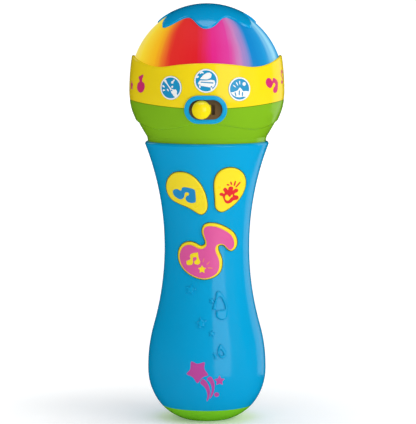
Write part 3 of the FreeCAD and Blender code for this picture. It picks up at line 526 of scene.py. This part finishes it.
TWINS = smooth([
    (-5.5, 1.9), (-4.7, 3.2), (-3.1, 3.7), (-1.2, 3.3), (0.2, 1.9), (1.0, 3.4), (2.5, 3.5),
    (5.0, 2.5), (6.3, 1.0), (6.1, -1.0), (5.4, -3.3), (3.0, -4.2), (1.0, -3.5), (1.2, -1.8),
    (2.7, -0.7), (3.2, 0.1), (2.2, 1.1), (1.0, 0.8), (0.4, 0.0), (-0.6, -1.1), (-2.3, -1.5),
    (-4.2, -0.7), (-5.3, 0.6)])
SWIRL = [stroke([(1.6, 2.4), (0.0, 3.1), (-1.8, 1.7), (-0.6, 0.2), (1.2, -1.0), (0.6, -2.7),
                 (-1.6, -2.6)], [1.7, 1.2, 0.9, 0.9, 0.9, 1.2, 1.8])]
RAISED_NOTE = [
    smooth([(5.9, 70.6), (7.2, 70.1), (8.6, 68.2), (9.8, 65.6), (10.5, 62.7), (10.6, 59.4),
            (10.2, 56.8), (8.3, 55.8), (6.2, 56.2), (4.8, 57.7), (4.6, 59.6), (4.7, 60.8),
            (3.7, 60.8), (2.9, 61.5), (3.3, 63.3), (4.0, 65.6), (4.5, 68.1), (4.9, 70.0)]),
    smooth([(6.2, 67.4), (7.4, 66.9), (8.6, 64.6), (9.3, 62.2), (9.2, 61.1), (7.5, 60.9),
            (6.0, 60.8), (5.0, 60.4), (4.9, 62.7), (5.2, 65.6)])]
RAISED_HOOK = [
    smooth([(7.0, 43.5), (8.5, 41.9), (9.9, 39.5), (9.8, 37.5), (8.6, 36.3), (7.1, 36.3),
            (6.2, 37.3), (5.5, 38.5), (5.7, 41.3)]),
    smooth([(7.1, 40.6), (8.1, 39.4), (8.6, 38.2), (7.5, 37.7), (6.9, 38.4), (6.6, 39.5)])]
RAISED_SPECKS = [
    smooth([(3.1, 38.6), (4.1, 38.9), (5.1, 37.7), (5.4, 36.4), (4.3, 35.8), (3.7, 37.2)]),
    star((2.6, 65.6), 1.7, 20)]
RAISED_STARS = [star((-8.4, 71.2), 3.2, 12, 0.46), star((-2.9, 54.1), 3.3, -8, 0.46),
                star((2.6, 48.9), 2.0, 10, 0.46)]
GUITAR = [
    stroke([(-3.6, 4.0), (-3.1, 3.4), (-2.0, 2.0), (-0.7, 0.4), (0.7, -1.3)],
           [0.7, 1.3, 0.6, 0.6, 0.8]),
    smooth([(0.3, -1.3), (1.1, -0.6), (2.1, -0.9), (2.8, -0.7), (3.6, -1.7), (3.5, -2.9),
            (3.8, -3.7), (3.0, -4.6), (1.9, -4.3), (1.3, -3.4), (0.5, -2.5)]),
    stroke([(1.0, 2.8), (1.3, 3.2), (2.0, 4.0)], [1.5, 0.8, 0.6]),
    stroke([(0.9, 0.4), (1.2, 0.9)], [1.0, 0.6]),
    stroke([(-4.4, 0.9), (-3.6, 0.4)], [0.9, 0.5]),
    stroke([(-4.2, -1.3), (-3.4, -1.2)], [0.9, 0.5]),
    stroke([(-1.8, -0.8), (-1.2, -1.6)], [0.6, 0.4])]
PIANO = [
    blunt([(-3.2, 0.9), (-1.6, 2.8), (0.4, 4.1), (2.0, 4.2), (2.9, 3.2), (2.4, 1.5),
           (0.5, 0.7)], 0.2),
    blunt([(-4.2, -1.3), (-3.2, 0.2), (0.3, 0.2), (2.5, 0.6), (4.3, 0.2), (4.6, -1.4), (4.0, -3.0),
           (2.6, -3.4), (-3.2, -2.4)], 0.15),
    blunt([(-2.6, -0.4), (-2.9, -0.9), (3.6, -1.4), (3.7, -0.8)], 0.1),
    stroke([(-3.2, -2.2), (-3.1, -3.4)], [0.8, 0.6]),
    stroke([(2.7, -3.0), (2.7, -4.6)], [0.8, 0.7]), oval((-4.4, 2.0), 0.75, 0.5, 30),
    stroke([(-3.0, 3.8), (-2.3, 4.4), (-1.5, 4.1)], [0.6, 0.9, 0.6])]
STAGE = [
    blunt([(-5.0, -1.6), (-3.4, -1.5), (-1.2, -0.6), (0.0, 0.9), (0.9, 0.1), (1.7, -1.1),
           (3.4, -1.0), (5.2, -1.2), (5.0, -2.8), (3.9, -4.0), (1.6, -3.9), (0.0, -4.2),
           (-2.0, -4.0), (-3.8, -3.0)], 0.2),
    stroke([(-2.6, -1.9), (-2.2, -3.3)], [0.7, 0.6]),
    stroke([(-0.3, -1.0), (-0.4, -2.9)], [0.7, 0.6]),
    stroke([(1.5, -1.8), (1.4, -3.4)], [0.7, 0.6]), oval((2.5, 2.6), 0.95, 0.95),
    stroke([(0.0, 2.5), (-0.1, 3.9)], [0.35, 0.5]), stroke([(-1.2, 2.1), (-1.8, 3.3)], [0.35, 0.5]),
    stroke([(-2.4, 1.1), (-3.4, 1.9)], [0.35, 0.5])]


# ---------------------------------------------------------------- printed and raised pieces

TREES = {}


def surface(name):
    """Ray-cast tree of one carried-over node."""
    if name not in TREES:
        mesh = NODES[name].data
        TREES[name] = BVHTree.FromPolygons([vert.co for vert in mesh.vertices],
                                           [face.vertices for face in mesh.polygons])
    return TREES[name]


def facing(u, v):
    """Where a ray starts and goes for a mark seen from the front: u is x and v is z."""
    return Vector((u * MM, -0.1, v * MM)), Vector((0.0, 1.0, 0.0))


def around(bearing, height):
    """The same for a mark wrapped round the head: u runs along it from a bearing, v goes up."""
    def place(u, v):
        turn = math.radians(bearing) + u / HEAD_REACH
        out = Vector((math.sin(turn), -math.cos(turn), 0.0))
        return out * 0.1 + Vector((0.0, 0.0, (height + v) * MM)), -out
    return place


def sharpen(shape, angle=0.6):
    """Hard edges where faces meet at more than an angle."""
    for edge in shape.edges:
        if len(edge.link_faces) == 2 and edge.calc_face_angle(0.0) > angle:
            edge.smooth = False


def sliced(shape, cell):
    """Cut a flat sheet into cells, so that it can bend over a curved surface."""
    for axis in (0, 2):
        spread = [vert.co[axis] for vert in shape.verts]
        low = min(spread)
        count = int((max(spread) - low) / cell)
        way = Vector((0.0, 0.0, 0.0))
        way[axis] = 1.0
        for step in range(1, count + 1):
            bmesh.ops.bisect_plane(shape, geom=shape.verts[:] + shape.edges[:] + shape.faces[:],
                                   dist=1e-5, plane_co=way * (low + step * cell), plane_no=way)


def mark(name, on, body, material, loops, place=facing, lift=0.05, soft=0.0, cell=1.0):
    """A thin closed piece on a node's surface.  Loops inside loops are holes.  With soft, its
    height is rounded off over that distance from the outline."""
    shape = bmesh.new()
    edges = []
    rim = []
    for loop in loops:
        spots = [shape.verts.new((u, 0.0, v)) for u, v in loop]
        edges += [shape.edges.new(pair) for pair in zip(spots, spots[1:] + spots[:1])]
        rim += [vert.co.copy() for vert in spots]
    bmesh.ops.triangle_fill(shape, use_beauty=True, edges=edges)
    sliced(shape, cell)
    near = KDTree(len(rim))
    for index, spot in enumerate(rim):
        near.insert(spot, index)
    near.balance()
    made = bmesh.ops.extrude_face_region(shape, geom=shape.faces[:])["geom"]
    raised = {part for part in made if isinstance(part, bmesh.types.BMVert)}
    tree = surface(on)
    for vert in shape.verts:
        origin, way = place(vert.co.x, vert.co.z)
        spot = tree.ray_cast(origin, way)[0]
        out = Vector((spot.x, spot.y, 0.0)).normalized()
        high = -0.12
        if vert in raised:
            share = min(near.find(vert.co)[2] / soft, 1.0) if soft else 1.0
            high = lift * math.sqrt(1 - (1 - share) ** 2)
        vert.co = spot + out * high * MM
    bmesh.ops.recalc_face_normals(shape, faces=shape.faces[:])
    sharpen(shape)
    return finish_piece(name, shape, body, material)


def marks():
    """Printed and moulded marks on the handle, the buttons, the labels and the band."""
    rose = flat_print("print_rose", MAGENTA)
    white = flat_print("print_white", WHITE)
    sun = flat_print("print_sun", SUN)
    root = "microphone"
    mark("icon_quavers", "left_button", "left_button", flat_print("print_blue", NOTE_BLUE),
         [QUAVERS])
    mark("icon_hand", "right_button", "right_button", flat_print("print_cherry", CHERRY),
         [HAND, PALM] + CLAPS)
    mark("icon_tune", "note_button_inlay", "note_button", sun, [TUNE, star((-2.5, 82.0), 2.3)])
    mark("icon_sparks", "note_button_inlay", "note_button",
         flat_print("print_peach", paint(240, 140, 110)), SPARKS)
    mark("comet_print", "handle_front_shell", root, flat_print("print_violet", VIOLET), COMET)
    mark("raised_note", "handle_front_shell", root, MATERIALS["handle_plastic"], RAISED_NOTE,
         lift=0.85, soft=0.9, cell=0.4)
    mark("raised_note_head", "handle_front_shell", root, MATERIALS["handle_plastic"],
         [oval((7.7, 58.4), 2.3, 1.9, 10)], lift=0.75, soft=1.2, cell=0.4)
    mark("raised_hook", "handle_front_shell", root, MATERIALS["handle_plastic"], RAISED_HOOK,
         lift=0.75, soft=0.8, cell=0.4)
    for index, loop in enumerate(RAISED_SPECKS + RAISED_STARS):
        mark(f"raised_bit_{index}", "handle_front_shell", root, MATERIALS["handle_plastic"],
             [loop], lift=0.6, soft=0.8, cell=0.4)
    for name, bearing, height, picture in (("guitar", -26.8, 176.8, GUITAR),
                                           ("piano", -0.5, 180.5, PIANO),
                                           ("stage", 24.2, 176.2, STAGE)):
        loops = [oval((0, 0), 6.0, 6.0, count=64), oval((0, 0), 5.35, 5.35, count=64)]
        place = around(bearing, height)
        mark(f"label_rim_{name}", f"sticker_{name}", root, white, loops, place)
        mark(f"label_art_{name}", f"sticker_{name}", root, white, picture, place)
    for index, (bearing, height, loops) in enumerate((
            (-56.6, 177.7, [PEAR]), (55.8, 177.8, [TWINS]), (-73.7, 177.2, [star((0, 0), 2.9)]),
            (75.2, 181.6, SWIRL), (104.0, 178.2, [star((0, 0), 2.9)]), (126.0, 177.8, [PEAR]),
            (-104.0, 178.6, SWIRL), (-126.0, 177.8, [TWINS]), (150.0, 180.0, [star((0, 0), 3.2)]),
            (-150.0, 180.0, [star((0, 0), 3.2)]))):
        mark(f"band_print_{index}", "head_band", root, rose, loops, around(bearing, height),
             lift=0.04)


def bowl_skin():
    """Raised wavy layer on the upper bowl, from its lower edge up to the seam of the band."""
    tree = surface("head_bowl")

    def edges(turn):
        return ((WAVE_FOOT + WAVE_SWING * math.cos(4 * turn)) * MM,
                (BAND_SEAM + BAND_SEAM_RISE * math.sin(turn) ** 2) * MM)

    def reach(z):
        start = Vector((0.1, 0.0, min(z, BOWL_LIP * MM)))
        return tree.ray_cast(start, Vector((-1.0, 0.0, 0.0)))[0].x

    def at_switch(spot):
        across = max(abs(spot.x / MM - SWITCH_MIDDLE[0]) - 3.7, 0.0)
        return spot.y < 0 and math.hypot(across, spot.z / MM - SWITCH_MIDDLE[1]) < 6.2

    shape = bmesh.new()
    bmesh.ops.create_grid(shape, x_segments=240, y_segments=16, size=0.5)
    for vert in shape.verts:
        turn = 2 * math.pi * vert.co.x
        low, high = edges(turn)
        z = low + (high - low) * (vert.co.y + 0.5) ** 1.8
        out = reach(z) - SUNK * MM
        vert.co = (out * math.sin(turn), -out * math.cos(turn), z)
    bmesh.ops.remove_doubles(shape, verts=shape.verts[:], dist=1e-7)
    bmesh.ops.delete(shape, context="FACES", geom=[
        face for face in shape.faces if at_switch(face.calc_center_median())])
    made = bmesh.ops.extrude_face_region(shape, geom=shape.faces[:])["geom"]
    for vert in (part for part in made if isinstance(part, bmesh.types.BMVert)):
        low, high = edges(math.atan2(vert.co.x, -vert.co.y))
        rise = vert.co.z - low
        curl = 1 - min(rise / (0.9 * MM), 1.0)
        step = 0.08 + WAVE_STEP * math.sqrt(max(1 - curl ** 2, 0)) * (
            1 - 0.95 * rise / (high - low))
        vert.co += Vector((vert.co.x, vert.co.y, 0.0)).normalized() * (SUNK + step) * MM
    bmesh.ops.recalc_face_normals(shape, faces=shape.faces[:])
    sharpen(shape)
    finish_piece("bowl_skin", shape, "microphone", MATERIALS["bowl_plastic"])


def slider_shutter():
    """Dust strip that slides with the knob and keeps its slot covered from behind, in the recess's
    painted shade.
    """
    knob = [vert.co for vert in NODES["slider_knob"].data.vertices]
    middle = (min(spot.x for spot in knob) + max(spot.x for spot in knob)) / 2
    shape = bmesh.new()
    bmesh.ops.create_cube(shape, size=1.0)
    bmesh.ops.scale(shape, verts=shape.verts[:], vec=(15.2 * MM, 0.5 * MM, 5.6 * MM))
    bmesh.ops.translate(shape, verts=shape.verts[:],
                        vec=(middle, max(spot.y for spot in knob) - 0.55 * MM,
                             SWITCH_MIDDLE[1] * MM))
    finish_piece("slider_shutter", shape, "mode_slider", MATERIALS["recess"], smooth=False)


marks()
bowl_skin()
slider_shutter()
studio()
